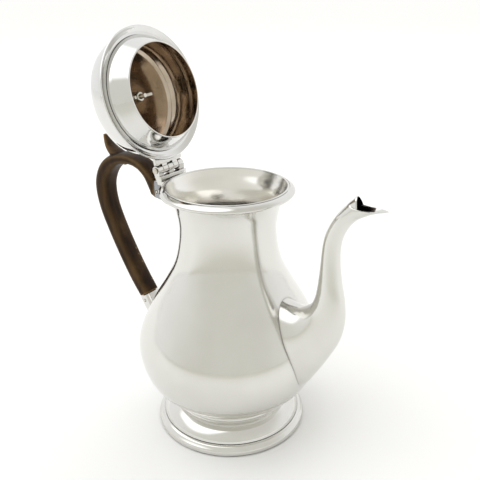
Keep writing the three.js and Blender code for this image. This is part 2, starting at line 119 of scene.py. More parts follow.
def curve(points, steps):
    """A smooth run of steps + 1 points through the given ones."""
    last = len(points) - 1
    made = []
    for i in range(steps + 1):
        place = i / steps * last
        k = min(int(place), last - 1)
        t = place - k
        around = [points[min(max(k + j, 0), last)] for j in (-1, 0, 1, 2)]
        value = []
        for p0, p1, p2, p3 in zip(*around):
            v0 = (p2 - p0) / 2
            v1 = (p3 - p1) / 2
            value.append((2 * p1 - 2 * p2 + v0 + v1) * t**3
                         + (3 * p2 - 3 * p1 - 2 * v0 - v1) * t**2 + v0 * t + p1)
        made.append(tuple(value))
    return made


def offset(profile, distance):
    """The profile moved sideways, to the left of its own direction."""
    last = len(profile) - 1
    made = []
    for i, (x, z) in enumerate(profile):
        x0, z0 = profile[max(i - 1, 0)]
        x1, z1 = profile[min(i + 1, last)]
        length = math.hypot(x1 - x0, z1 - z0)
        made.append((x - (z1 - z0) / length * distance, z + (x1 - x0) / length * distance))
    return made


def rounded(points, radius, steps=4):
    """A closed outline with each corner eased by an arc of about that radius."""
    made = []
    count = len(points)
    for i, corner in enumerate(points):
        here = Vector(corner)
        before = Vector(points[i - 1]) - here
        after = Vector(points[(i + 1) % count]) - here
        start = here + before.normalized() * min(radius, before.length * 0.45)
        end = here + after.normalized() * min(radius, after.length * 0.45)
        for step in range(steps + 1):
            t = step / steps
            made.append(tuple(start * (1 - t)**2 + here * 2 * t * (1 - t) + end * t**2))
    return made


# ---------------------------------------------------------------- meshes

def mesh_object(name, vertices, faces, place=POT_PLACE):
    """An object from millimetres about the body's axis, with its faces turned outward."""
    to_frame = Matrix.Translation((AXIS_X * MM, 0, 0)) @ Matrix.Scale(MM, 4) @ place
    mesh = bpy.data.meshes.new(name)
    mesh.from_pydata([to_frame @ Vector(v) for v in vertices], [], faces)
    made = bpy.data.objects.new(name, mesh)
    bpy.context.scene.collection.objects.link(made)
    work = bmesh.new()
    work.from_mesh(mesh)
    bmesh.ops.recalc_face_normals(work, faces=work.faces)
    work.to_mesh(mesh)
    work.free()
    return made


def lathe(name, profile, sides=AROUND, place=POT_PLACE):
    """Turns a closed outline of (radius, height) about the vertical axis."""
    vertices = []
    rows = []
    for r, z in profile:
        if abs(r) < 1e-6:
            rows.append([len(vertices)] * sides)
            vertices.append((0, 0, z))
        else:
            rows.append(list(range(len(vertices), len(vertices) + sides)))
            for i in range(sides):
                angle = 2 * math.pi * i / sides
                vertices.append((r * math.cos(angle), r * math.sin(angle), z))
    faces = []
    count = len(rows)
    for k in range(count):
        low, high = rows[k], rows[(k + 1) % count]
        if low[0] == low[-1] and high[0] == high[-1]:
            continue
        for i in range(sides):
            j = (i + 1) % sides
            corners = [low[i], low[j], high[j], high[i]]
            faces.append([v for n, v in enumerate(corners) if v != corners[n - 1]])
    return mesh_object(name, vertices, faces, place)


def skin(name, rings, place=POT_PLACE, loop=False):
    """Joins rings of points. A loop of rings makes a tube, otherwise both ends are closed."""
    sides = len(rings[0])
    vertices = [point for one in rings for point in one]
    faces = []
    count = len(rings)
    for k in range(count if loop else count - 1):
        for i in range(sides):
            a, b = k * sides + i, k * sides + (i + 1) % sides
            shift = ((k + 1) % count - k) * sides
            faces.append([a, b, b + shift, a + shift])
    if not loop:
        faces.append(list(range(sides))[::-1])
        faces.append(list(range((count - 1) * sides, count * sides)))
    return mesh_object(name, vertices, faces, place)


def ring(start, end, half_width, squareness, sides):
    """A closed ring in the plane of start, end and Y. Squareness 1 is an ellipse."""
    made = []
    for i in range(sides):
        angle = 2 * math.pi * i / sides
        along = math.copysign(abs(math.cos(angle))**squareness, math.cos(angle))
        across = math.copysign(abs(math.sin(angle))**squareness, math.sin(angle))
        made.append(((start[0] + end[0]) / 2 + (end[0] - start[0]) / 2 * along, half_width * across,
                     (start[1] + end[1]) / 2 + (end[1] - start[1]) / 2 * along))
    return made


def sweep(name, stations, squareness, steps, sides=40, first=None, last=None):
    """A bar through stations (x, z, thickness, half width), with its end directions in degrees."""
    path = curve(stations, steps)
    rings = []
    for i, (x, z, thick, half_width) in enumerate(path):
        ahead, behind = path[min(i + 1, steps)], path[max(i - 1, 0)]
        direction = Vector((ahead[0] - behind[0], ahead[1] - behind[1])).normalized()
        for turn, at in ((first, 0), (last, steps)):
            if turn is not None and i == at:
                direction = Vector((math.cos(math.radians(turn)), math.sin(math.radians(turn))))
        reach = Vector((-direction.y, direction.x)) * thick / 2
        rings.append(ring((x - reach.x, z - reach.y), (x + reach.x, z + reach.y),
                          half_width, squareness, sides))
    return skin(name, rings)


def plate(name, outline, y0, y1, place=POT_PLACE):
    """An outline of (x, z) points drawn out from y0 to y1."""
    return skin(name, [[(x, y, z) for x, z in outline] for y in (y0, y1)], place)


def block(name, low, high, place=POT_PLACE):
    """A box between two opposite corners (x, y, z)."""
    outline = [(low[0], low[2]), (high[0], low[2]), (high[0], high[2]), (low[0], high[2])]
    return plate(name, outline, low[1], high[1], place)


def cross_rod(name, profile, x, z, place=POT_PLACE, sides=AROUND_SMALL):
    """Turns (radius, y) points about the line through (x, z) that runs along Y."""
    rings = []
    for r, y in profile:
        rings.append([(x + r * math.cos(2 * math.pi * i / sides), y,
                       z + r * math.sin(2 * math.pi * i / sides)) for i in range(sides)])
    return skin(name, rings, place)


def apply(target):
    """Makes the modifiers part of the mesh."""
    graph = bpy.context.evaluated_depsgraph_get()
    mesh = bpy.data.meshes.new_from_object(target.evaluated_get(graph))
    target.modifiers.clear()
    target.data = mesh
    return target


def cut(target, tool, operation="DIFFERENCE"):
    """Applies an exact boolean and removes the tool."""
    modifier = target.modifiers.new("cut", "BOOLEAN")
    modifier.operation = operation
    modifier.solver = "EXACT"
    modifier.object = tool
    settled = apply(target)
    bpy.data.objects.remove(tool)
    return settled


def merge(target, other):
    """Puts two meshes into one, without cutting them."""
    work = bmesh.new()
    work.from_mesh(target.data)
    work.from_mesh(other.data)
    work.to_mesh(target.data)
    work.free()
    bpy.data.objects.remove(other)
    return target


def bevel(target, width, segments=3):
    """Rounds the edges that turn by more than 35 degrees."""
    modifier = target.modifiers.new("edges", "BEVEL")
    modifier.width = width * MM
    modifier.segments = segments
    modifier.limit_method = "ANGLE"
    modifier.angle_limit = math.radians(35)
    return apply(target)


# ---------------------------------------------------------------- materials

def material(name):
    """A new material, its nodes, its shader, and coordinates in metres on the piece."""
    made = bpy.data.materials.new(name)
    made.use_nodes = True
    tree = made.node_tree
    shader = tree.nodes["Principled BSDF"]
    place = tree.nodes.new("ShaderNodeTexCoord")
    return made, tree, shader, place.outputs["Object"]


def noise(tree, coordinates, scale, detail, stretch=(1, 1, 1)):
    mapping = tree.nodes.new("ShaderNodeMapping")
    mapping.inputs["Scale"].default_value = stretch
    tree.links.new(coordinates, mapping.inputs["Vector"])
    made = tree.nodes.new("ShaderNodeTexNoise")
    made.inputs["Scale"].default_value = scale
    made.inputs["Detail"].default_value = detail
    tree.links.new(mapping.outputs["Vector"], made.inputs["Vector"])
    return made.outputs["Fac"]


def ramp(tree, value, stops):
    """A colour that follows a value through stops of (value, colour)."""
    made = tree.nodes.new("ShaderNodeValToRGB")
    elements = made.color_ramp.elements
    while len(elements) < len(stops):
        elements.new(0.5)
    for element, (position, colour) in zip(elements, stops):
        element.position = position
        element.color = (*colour, 1)
    tree.links.new(value, made.inputs["Fac"])
    return made.outputs["Color"]


def remap(tree, value, low, high, start=0.3, end=0.7):
    """Runs from low to high as the value goes from start to end."""
    made = tree.nodes.new("ShaderNodeMapRange")
    made.inputs["From Min"].default_value = start
    made.inputs["From Max"].default_value = end
    made.inputs["To Min"].default_value = low
    made.inputs["To Max"].default_value = high
    tree.links.new(value, made.inputs["Value"])
    return made.outputs["Result"]


def bump(tree, shader, layers):
    """Stacks (height, strength, distance in mm) layers on the shader's normal."""
    previous = None
    for height, strength, distance in layers:
        made = tree.nodes.new("ShaderNodeBump")
        made.inputs["Strength"].default_value = strength
        made.inputs["Distance"].default_value = distance * MM
        tree.links.new(height, made.inputs["Height"])
        if previous is not None:
            tree.links.new(previous, made.inputs["Normal"])
        previous = made.outputs["Normal"]
    tree.links.new(previous, shader.inputs["Normal"])


# Colour of tight corners and seams: part tarnish, part painted shade.
SEAM_TARNISH_AND_SHADE = (0.085, 0.062, 0.045, 1)


def silver(name, clean, dull, roughness, unevenness, reach=1.6, openness=(0.25, 0.75)):
    """Silver with soft clouds of tarnish, seams darkened by tarnish and painted shade, fine scratches and a
    hand-raised unevenness.
    Corners less than reach millimetres wide are darkened, part tarnish and part painted shade. The darkening
    is full where the first share of openness is left between the corner's sides, and gone where the second
    is."""
    made, tree, shader, where = material(name)
    shader.inputs["Metallic"].default_value = 1.0
    clouds = ramp(tree, noise(tree, where, 62, 4, (1, 1, 0.5)), [(0.25, dull), (0.75, clean)])
    # Ambient occlusion darkens the base colour in tight corners: part tarnish, part painted shade.
    corners = tree.nodes.new("ShaderNodeAmbientOcclusion")
    corners.samples = 8
    corners.inputs["Distance"].default_value = reach * MM
    open_share = remap(tree, corners.outputs["AO"], 0, 1, *openness)
    tarnish_and_shade = tree.nodes.new("ShaderNodeMix")
    tarnish_and_shade.data_type = "RGBA"
    tarnish_and_shade.inputs["A"].default_value = SEAM_TARNISH_AND_SHADE
    tree.links.new(open_share, tarnish_and_shade.inputs["Factor"])
    tree.links.new(clouds, tarnish_and_shade.inputs["B"])
    tree.links.new(tarnish_and_shade.outputs["Result"], shader.inputs["Base Color"])
    scratches = noise(tree, where, 420, 2, (0.35, 0.35, 3.0))
    tree.links.new(remap(tree, scratches, *roughness), shader.inputs["Roughness"])
    raised = noise(tree, where, 34, 1)
    bump(tree, shader, [(raised, unevenness, 0.6), (scratches, 0.035, 0.05)])
    return made


polished = silver("polished_silver", (0.735, 0.73, 0.705), (0.69, 0.68, 0.645), (0.05, 0.11), 0.04,
                  reach=1.8, openness=(0.35, 0.75))
lid_silver = silver("lid_silver", (0.76, 0.76, 0.75), (0.72, 0.715, 0.70), (0.05, 0.11), 0.04, reach=0.7)
# The upper socket's silver has a dark base colour and a wide corner darkening. This is painted shade from
# the rim and a painted reflection of the dark handle.
socket_silver_painted_shade = silver("socket_silver_painted_shade", (0.44, 0.45, 0.47), (0.26, 0.26, 0.27), (0.10, 0.2), 0.08, reach=5.0)
body_silver = silver("body_silver", (0.735, 0.73, 0.70), (0.70, 0.69, 0.655), (0.11, 0.16), 0.03,
                     reach=2.2, openness=(0.58, 0.92))
satin_silver = silver("satin_silver", (0.84, 0.83, 0.80), (0.80, 0.78, 0.73), (0.13, 0.20), 0.05)
# The lid's hollow has a brown base colour: painted shade and reflection inside the dome.
inside_silver_painted_shade = silver("inside_silver_painted_shade", (0.66, 0.57, 0.475), (0.43, 0.35, 0.27), (0.08, 0.16), 0.10)
# The spout's inside is nearly black: painted shade within the tube.
spout_inside_painted_shade = silver("spout_inside_painted_shade", (0.10, 0.08, 0.07), (0.04, 0.03, 0.025), (0.2, 0.35), 0.12)
fitting = silver("fitting_silver", (0.76, 0.74, 0.68), (0.50, 0.46, 0.40), (0.10, 0.24), 0.08)


def dark_wood():
    """Close-grained dark wood, paler on its edges from wear and a painted highlight."""
    made, tree, shader, where = material("dark_wood")
    grain = noise(tree, where, 95, 6, (1.0, 1.0, 0.16))
    streaks = noise(tree, where, 420, 3, (1.0, 1.0, 0.05))
    wood = ramp(tree, grain, [(0.30, (0.013, 0.006, 0.002)), (0.5, (0.032, 0.016, 0.006)),
                              (0.70, (0.062, 0.034, 0.013))])
    worn = ramp(tree, streaks, [(0.38, (0.55, 0.50, 0.45)), (0.62, (1.1, 1.05, 1.0))])
    mixed = tree.nodes.new("ShaderNodeMix")
    mixed.data_type = "RGBA"
    mixed.blend_type = "MULTIPLY"
    mixed.inputs["Factor"].default_value = 0.75
    tree.links.new(wood, mixed.inputs["A"])
    tree.links.new(worn, mixed.inputs["B"])
    # Edges are lighter by pointiness: edge wear, and a painted highlight along them.
    edges = tree.nodes.new("ShaderNodeNewGeometry")
    worn_and_sheen_edges = tree.nodes.new("ShaderNodeMapRange")
    worn_and_sheen_edges.inputs["From Min"].default_value = 0.502
    worn_and_sheen_edges.inputs["From Max"].default_value = 0.53
    worn_and_sheen_edges.inputs["To Max"].default_value = 0.8
    tree.links.new(edges.outputs["Pointiness"], worn_and_sheen_edges.inputs["Value"])
    lighter = tree.nodes.new("ShaderNodeMix")
    lighter.data_type = "RGBA"
    lighter.inputs["B"].default_value = (0.25, 0.155, 0.065, 1)
    tree.links.new(worn_and_sheen_edges.outputs["Result"], lighter.inputs["Factor"])
    tree.links.new(mixed.outputs["Result"], lighter.inputs["A"])
    tree.links.new(lighter.outputs["Result"], shader.inputs["Base Color"])
    tree.links.new(remap(tree, streaks, 0.36, 0.52), shader.inputs["Roughness"])
    shader.inputs["Specular IOR Level"].default_value = 0.12
    bump(tree, shader, [(streaks, 0.25, 0.12), (grain, 0.15, 0.2)])
    return made


wood = dark_wood()


def settle(made, body, looks, nodes, angle=SMOOTH_ANGLE, place=POT_PLACE, hollow=None):
    """Shades a finished piece, gives it its material, and puts it in the frame.
    hollow(point, normal), in the piece's own millimetres, is true on faces that take the second look."""
    made.data.shade_smooth()
    made.data.set_sharp_from_angle(angle=angle)
    for look in looks:
        made.data.materials.append(look)
    if hollow is not None:
        to_local = (Matrix.Translation((AXIS_X * MM, 0, 0)) @ Matrix.Scale(MM, 4) @ place).inverted()
        turn_back = place.to_3x3().inverted()
        for face in made.data.polygons:
            face.material_index = int(hollow(to_local @ face.center, turn_back @ face.normal))
    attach(made, body)
    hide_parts(*nodes)


# ---------------------------------------------------------------- body

outside = [(0.0, 12.5)] + curve([
    (18, 13.8), (36.9, 20), (52.4, 33.5), (59.2, 50), (59, 66), (50.8, 84.5), (40.3, 103),
    (33.4, 118), (30.5, 137), (32.4, 151.5), (36.4, 160.6), (MOUTH_EDGE, MOUTH_TOP - 0.25)], 96)


def body_solid(name, extra):
    """The body without its hollow, grown by extra, to cut pieces that sit on it."""
    shape = offset(outside, -extra)
    shape[0] = (0.0, outside[0][1] - extra)
    return lathe(name, shape + [(0.0, MOUTH_TOP + 1)])


def body_shell():
    """The raised body, open at its mouth, with the strainer holes behind the spout."""
    inner = offset(outside, WALL)[::-1]
    inner[-1] = (0.0, outside[0][1] + WALL)
    lip = [(MOUTH_EDGE - 0.25, MOUTH_TOP), (MOUTH_EDGE - WALL + 0.3, MOUTH_TOP)]
    shell = lathe("pot_body", outside + lip + inner[1:])
    holes = []
    for row in range(-STRAINER_ROWS, STRAINER_ROWS + 1):
        across = STRAINER_ACROSS - abs(row) % 2
        for i in range(across):
            y = (i - (across - 1) / 2) * STRAINER_PITCH
            holes.append((y, STRAINER_MIDDLE + row * STRAINER_ROW_PITCH))
    for number, (y, z) in enumerate(holes):
        ends = []
        for x in (25, 75):
            circle = []
            for k in range(STRAINER_SIDES):
                angle = 2 * math.pi * k / STRAINER_SIDES
                circle.append((x, y + STRAINER_HOLE * math.cos(angle), z + STRAINER_HOLE * math.sin(angle)))
            ends.append(circle)
        shell = cut(shell, skin(f"strainer_hole_{number}", ends))
    return shell


def in_body(point, normal):
    """Faces that look towards the body's axis, or up from its floor."""
    near_floor = point.z < 20
    if point.z > MOUTH_TOP - 1 or (near_floor and normal.z < 0):
        return False
    return point.x * normal.x + point.y * normal.y < 0 or (near_floor and normal.z > 0.5)


settle(body_shell(), "pot", [body_silver, satin_silver], ["body_shell"], hollow=in_body)

# ---------------------------------------------------------------- rim and foot

rim_outline = rounded([(38.3, 163.0), (38.0, 160.2), (40, 160.4), (41.5, 161.4), (41.9, 162.4),
                       (41.4, 163.3), (40, 164.3), (MOUTH_EDGE + 0.15, 165.1)], 0.5)


def rim_piece(name, keep_middle, half):
    """The rim's ring, either without its back stretch or only that stretch."""
    made = lathe(name, rim_outline)
    tool = block(name + "_tool", (-46, -half, 155), (-30, half, 170))
    return cut(made, tool, "INTERSECT" if keep_middle else "DIFFERENCE")


settle(rim_piece("rim_wire", False, HINGE_HALF + GAP),
       "pot", [polished], ["rim_moulding"])

settle(lathe("foot_collar_ring", rounded([
    (34.6, 17.6), (37, 17.6), (37.9, 18.1), (38.2, 18.9), (37.9, 19.8), (37.7, 20.3), (37.4, 20.1)], 0.3)),
    "pot", [polished], ["foot_collar"])

skirt_outside = curve([(46, 7.0), (45, 9.6), (42.2, 13), (39.3, 15.2), (37.2, 16.4), (36.6, 17.3)], 48)
settle(lathe("foot_spreading_skirt", skirt_outside + offset(skirt_outside, WALL)[::-1]),
       "pot", [polished], ["foot_skirt"])

settle(lathe("foot_base_ring", rounded([
    (44.4, 0), (49.2, 0), (49.8, 0.8), (50, 2.4), (49.6, 3.8), (48.8, 4.7), (48.3, 5.3), (47.8, 6.0),
    (46.4, 6.7), (44.6, 6.5)], 0.45)), "pot", [polished], ["foot_base_wire"])

# ---------------------------------------------------------------- spout

# (x, z) of the edge facing the pot, (x, z) of the edge facing away, half width
SPOUT_STATIONS = [
    (34, 101.5, 44, 38, 18), (50, 98.3, 57.5, 43.5, 16), (57.5, 99.6, 66.5, 56, 13.8),
    (62.3, 104, 74.5, 70, 11.6), (64.7, 110, 80.3, 82, 9.8), (65.8, 117, 82.9, 94, 8.5),
    (66.4, 124, 82.5, 106, 7.5), (67, 132, 80, 119, 6.5), (67.5, 140, 78.3, 132.5, 5.7),
    (68.7, 147.8, 78.6, 144, 5.3), (71.8, 155.7, 81.5, 152.8, 5.2), (76.3, 163.2, 87, 160.3, 5.2),
    (81.4, 169.3, 94, 164.8, 5.1),
]
SPOUT_SIDES = 96
SPOUT_STEPS = 96          # rings along the stations
MOUTH_STEPS = 12          # rings from the last station to the lips
LIP_BACK = 86.4           # the mouth's upper peak, facing the pot
LIP_TIP = 105.4           # the beak's tip
LIP_PEAK_Z = 174.4
LIP_NOTCH_Z = 167.8       # the edge just past the peak
LIP_TIP_Z = 169.1
LIP_HALF_WIDTH = 5.0
PEAK_SHARE = 0.11         # how much of the mouth's length the peak takes
BEAK_X = 96.5             # past this the open beak is bright


def mouth_ring(wall):
    """The cut mouth: a peak at the back, a notch each side, then level edges to the beak's tip."""
    made = []
    for i in range(SPOUT_SIDES):
        angle = 2 * math.pi * i / SPOUT_SIDES + math.pi
        share = (1 + math.cos(angle)) / 2
        reach = (LIP_TIP - wall * 1.6 - LIP_BACK - wall) * share
        peak = max(0.0, 1 - share / PEAK_SHARE)**0.85
        width = (LIP_HALF_WIDTH - wall) * min(1.0, 9 * share)**0.5 * (1 - share**2.2)**0.6
        level = LIP_NOTCH_Z + (LIP_TIP_Z - LIP_NOTCH_Z) * share
        made.append((LIP_BACK + wall + reach, math.copysign(width, math.sin(angle)),
                     level + (LIP_PEAK_Z - LIP_NOTCH_Z) * peak))
    return made


def spout_rings(wall):
    """Rings up the tube and out to the lips, moved inward by wall."""
    path = curve(SPOUT_STATIONS, SPOUT_STEPS)
    rings = []
    for x0, z0, x1, z1, half_width in path:
        length = math.hypot(x1 - x0, z1 - z0)
        shift = ((x1 - x0) / length * wall, (z1 - z0) / length * wall)
        rings.append(ring((x0 + shift[0], z0 + shift[1]), (x1 - shift[0], z1 - shift[1]),
                          half_width - wall, 1, SPOUT_SIDES))
    end = mouth_ring(wall)
    # ring() starts at the edge facing away, as the mouth does after half a turn
    end = end[SPOUT_SIDES // 2:] + end[:SPOUT_SIDES // 2]
    before, last = rings[-2:]
    for step in range(1, MOUTH_STEPS + 1):
        t = step / MOUTH_STEPS
        grown = []
        for earlier, a, b in zip(before, last, end):
            chord = Vector(b) - Vector(a)
            leaving = (Vector(a) - Vector(earlier)).normalized() * chord.length
            grown.append(tuple(Vector(a) + leaving * t * (1 - t)**2 + chord * t * t * (2 - t)))
        rings.append(grown)
    return rings


spout = skin("spout_tube", spout_rings(0) + spout_rings(SPOUT_WALL)[::-1], loop=True)
spout = cut(spout, body_solid("spout_root_cut", SOLDER_GAP))
spout_middle = [((x0 + x1) / 2, (z0 + z1) / 2)
                for x0, z0, x1, z1, half_width in curve(SPOUT_STATIONS, SPOUT_STEPS // 2)]
spout_middle.append((LIP_BACK + 6, LIP_TIP_Z + 2))


def in_spout(point, normal):
    """Faces that look towards the middle of the tube, short of the open beak."""
    if point.x > BEAK_X:
        return False
    nearest = min(spout_middle, key=lambda m: math.hypot(m[0] - point.x, m[1] - point.z))
    inward = Vector((nearest[0] - point.x, -point.y, nearest[1] - point.z))
    return inward.dot(normal) > 0


# Inward faces short of the beak take the nearly black painted shade.
settle(spout, "pot", [body_silver, spout_inside_painted_shade], ["spout"],
       angle=math.radians(50), hollow=in_spout)

# ---------------------------------------------------------------- handle and its sockets

# (x, z, thickness, half width)
GRIP = [
    (-71.7, 71.6, 9.2, 6.8), (-79.2, 82.4, 9.2, 7), (-87.6, 96.5, 9.2, 7), (-97, 114.6, 9.4, 7),
    (-104.2, 132, 10, 7), (-106.2, 146.5, 11, 7), (-102.8, 157.3, 11, 7), (-96, 164.8, 9.6, 7),
    (-87.4, 168.8, 7.6, 6.9), (-78, 169.7, 6.6, 6.8), (-69, 167.6, 6.2, 6.7), (-62.2, 162.7, 6.6, 6.7),
    (-57.6, 156.6, 9.2, 6.6), (-54.6, 153.4, 13.6, 6.6),
]
SPUR = [(-82, 167.6, 6, 5.6), (-91.5, 170.6, 7, 5.4), (-98.6, 175.8, 4.4, 4.2), (-103.2, 183.2, 1.2, 1.5)]


def lower_tenon(name, extra):
    """The slanting lower tenon, or the mortise for it."""
    length, thick = [half + extra for half in LOWER_TENON_HALF]
    outline = [tuple(LOWER_TENON_MIDDLE + LOWER_TENON_ALONG * s * length + LOWER_TENON_ACROSS * t * thick)
               for s, t in ((-1, -1), (1, -1), (1, 1), (-1, 1))]
    return plate(name, outline, -TENON_HALF - extra, TENON_HALF + extra)


def upper_tenon(name, extra):
    """The level upper tenon, or the mortise for it."""
    return block(name, (UPPER_TENON_X[0], -TENON_HALF - extra, UPPER_TENON_Z[0] - extra),
                 (UPPER_TENON_X[1] + extra, TENON_HALF + extra, UPPER_TENON_Z[1] + extra))


def pin_hole(name, at):
    radius = SOCKET_PIN + GAP
    return cross_rod(name, [(radius, -12), (radius, 12)], *at)


def carved_grip():
    """The loop and its spur, blended as carved wood, with both tenons and their pin holes."""
    grip = sweep("handle_wood", GRIP, 0.62, 104, first=120, last=0)
    grip = merge(grip, sweep("spur", SPUR, 0.9, 30))
    carved = grip.modifiers.new("carved", "REMESH")
    carved.mode = "VOXEL"
    carved.voxel_size = GRAIN_OF_CARVING * MM
    softened = grip.modifiers.new("softened", "SMOOTH")
    softened.iterations = 6
    softened.factor = 0.5
    grip = apply(grip)
    grip = cut(grip, block("grip_end", (UPPER_JOINT_X - GAP, -12, 140), (-40, 12, 175)))
    grip = cut(grip, upper_tenon("tenon_a", 0), "UNION")
    grip = cut(grip, lower_tenon("tenon_b", 0), "UNION")
    grip = cut(grip, pin_hole("hole_a", UPPER_PIN))
    return cut(grip, pin_hole("hole_b", LOWER_PIN))


settle(carved_grip(), "pot", [wood], ["handle_grip"])

upper = plate("upper_handle_socket", [
    (UPPER_JOINT_X, 148.7), (-28, 144.3), (-28, 158), (-35.6, 159.1), (-47, 159.1), (-49, 160.1),
    (UPPER_JOINT_X, 160.3)], -SOCKET_HALF, SOCKET_HALF)
upper = bevel(upper, 1.1, 4)
upper = cut(upper, body_solid("upper_socket_cut", SOLDER_GAP))
upper = cut(upper, upper_tenon("mortise_a", GAP))
upper = cut(upper, pin_hole("hole_c", UPPER_PIN))
settle(upper, "pot", [socket_silver_painted_shade], ["upper_socket"])

LOWER_SOCKET = [(-71.5, 71.2, 9.8, SOCKET_HALF), (-67.6, 64.8, 10, SOCKET_HALF), (-62.6, 59.8, 11, 7.5),
                (-54, 55, 13.5, 8)]
lower = sweep("lower_handle_socket", LOWER_SOCKET, 0.62, 24, first=-60)
lower = cut(lower, body_solid("lower_socket_cut", SOLDER_GAP))
lower = cut(lower, lower_tenon("mortise_b", GAP))
lower = cut(lower, pin_hole("hole_d", LOWER_PIN))
settle(lower, "pot", [polished], ["lower_socket"])


def domed_pin(name, at, radius, half_length):
    """A pin with lightly domed ends."""
    ends = [(radius * math.cos(a), half_length - 0.3 + 0.3 * math.sin(a))
            for a in [math.radians(d) for d in (0, 25, 50, 72, 84)]]
    return cross_rod(name, [(r, -y) for r, y in ends[::-1]] + ends, *at)


for name, at in (("upper_socket_pin", UPPER_PIN), ("lower_socket_pin", LOWER_PIN)):
    settle(domed_pin(name + "_silver", at, SOCKET_PIN, SOCKET_HALF + 0.3), "pot",
           [fitting], [name])

# ---------------------------------------------------------------- hinge

PITCH = 2 * HINGE_HALF / KNUCKLES


def knuckle(name, i, z, place):
    """The i-th barrel, and where it starts and ends along Y."""
    y0 = -HINGE_HALF + i * PITCH + GAP / 2
    y1 = y0 + PITCH - GAP
    eased = [(BARREL - 0.25, y0), (BARREL, y0 + 0.25), (BARREL, y1 - 0.25), (BARREL - 0.25, y1)]
    return y0, y1, cross_rod(name, eased, HINGE_X, z, place)


def pin_bore(name, z, place):
    return cross_rod(name, [(PIN + GAP, -HINGE_HALF - 2), (PIN + GAP, HINGE_HALF + 2)], HINGE_X, z, place)


def body_leaf():
    """The fixed leaf: a plate, the rim's back stretch, and every other knuckle on its web."""
    leaf = bevel(block("hinge_leaf_on_pot", (-46, -HINGE_HALF, 160.2), (-42.3, HINGE_HALF, 165.8)), 0.35)
    leaf = cut(leaf, block("inlet", (-43, -HINGE_HALF, 160.6), (-40.5, HINGE_HALF, 162.8)), "UNION")
    leaf = cut(leaf, rim_piece("rim_back", True, HINGE_HALF), "UNION")
    for i in range(0, KNUCKLES, 2):
        y0, y1, barrel = knuckle(f"barrel_{i}", i, HINGE_Z, POT_PLACE)
        web = plate(f"web_{i}", [(-48.6, HINGE_Z - 2), (-46.1, 161), (-44, 161), (-44, HINGE_Z),
                                 (HINGE_X, HINGE_Z)], y0 + 0.06, y1 - 0.06)
        leaf = cut(leaf, web, "UNION")
        leaf = cut(leaf, barrel, "UNION")
    return cut(leaf, pin_bore("bore_a", HINGE_Z, POT_PLACE))


settle(body_leaf(), "pot", [polished], ["hinge_body_leaf"])

HEAD = HINGE_HALF + 0.15
head = [(PIN, HEAD), (1.9, HEAD), (1.9, HEAD + 0.4), (1.6, HEAD + 0.65), (0.9, HEAD + 0.75)]
settle(cross_rod("hinge_pin_silver", [(r, -y) for r, y in head[::-1]] + head, HINGE_X, HINGE_Z),
       "pot", [fitting], ["hinge_pin"])


def lid_leaf():
    """The moving leaf: a plate cut to the dome, with the other knuckles."""
    axis = HINGE_Z - LID_PLANE
    low = FLANGE_TOP + GAP
    leaf = block("hinge_leaf_on_lid", (-43.6, -HINGE_HALF, low), (-36, HINGE_HALF, axis), LID_PLACE)
    leaf = bevel(leaf, 0.3)
    for i in range(1, KNUCKLES, 2):
        y0, y1, barrel = knuckle(f"lid_barrel_{i}", i, axis, LID_PLACE)
        tongue = plate(f"tongue_{i}", [(HINGE_X, low + 0.1), (-42, low + 0.1), (-42, axis - 0.1),
                                       (HINGE_X, axis - 0.1)], y0 + 0.06, y1 - 0.06, LID_PLACE)
        leaf = cut(leaf, tongue, "UNION")
        leaf = cut(leaf, barrel, "UNION")
    leaf = cut(leaf, lathe("dome_room", [(0, -20), (39.5, -20), (39.5, 30), (0, 30)], place=LID_PLACE))
    return cut(leaf, pin_bore("bore_b", axis, LID_PLACE))


settle(lid_leaf(), "lid", [polished], ["hinge_lid_leaf"])

# ---------------------------------------------------------------- lid

flange_in = BEZEL_ROOT + 0.1
settle(lathe("lid_flange_ring", rounded([
    (flange_in, 1.5), (38.2, 1.4), (40, 0.55), (41.5, -0.5), (LID_RADIUS, 0.2), (41.8, 0.9), (41, 1.7),
    (39.8, FLANGE_TOP), (flange_in, FLANGE_TOP)], 0.35), place=LID_PLACE),
    "lid", [lid_silver], ["lid_flange"])

dome_base = FLANGE_TOP + GAP
dome_wall = curve([(39.2, dome_base), (39.2, 6), (38.3, 11), (36.7, 15.2), (34.3, 18.4)], 40)
dome_cap = curve([(34.3, 18.4), (31, 20.4), (24, 22), (14, 23.1), (2.6, DOME_HEIGHT)], 40)[1:]
dome_outside = dome_wall + dome_cap
dome_inside = offset(dome_outside, WALL)[::-1]
dome_inside[-1] = (dome_inside[-1][0], dome_base)
dome_inside[0] = (dome_outside[-1][0], dome_inside[0][1])


def in_lid(point, normal):
    """Faces that look towards the lid's axis, or down from its crown."""
    across = point.x * normal.x + point.y * normal.y
    return across < -0.05 or (normal.z < -0.5 and point.z > dome_base + 1)


settle(lathe("lid_domed_cover", dome_outside + dome_inside, place=LID_PLACE), "lid",
       [lid_silver, inside_silver_painted_shade], ["lid_dome"], place=LID_PLACE, hollow=in_lid)

bezel_out = [(BEZEL_MOUTH, -BEZEL_DEPTH), (BEZEL_MOUTH + 0.5, -BEZEL_DEPTH + 0.9), (35.2, -1.8),
             (BEZEL_ROOT, 0.3), (BEZEL_ROOT, FLANGE_TOP)]
bezel_in = [(r - 1.0, z) for r, z in bezel_out][::-1]
bezel_profile = rounded(bezel_out + bezel_in, 0.4, 5)
settle(lathe("lid_bezel_cone", bezel_profile, place=LID_PLACE), "lid",
       [lid_silver, inside_silver_painted_shade], ["lid_bezel"], place=LID_PLACE, hollow=in_lid)

# ---------------------------------------------------------------- finial

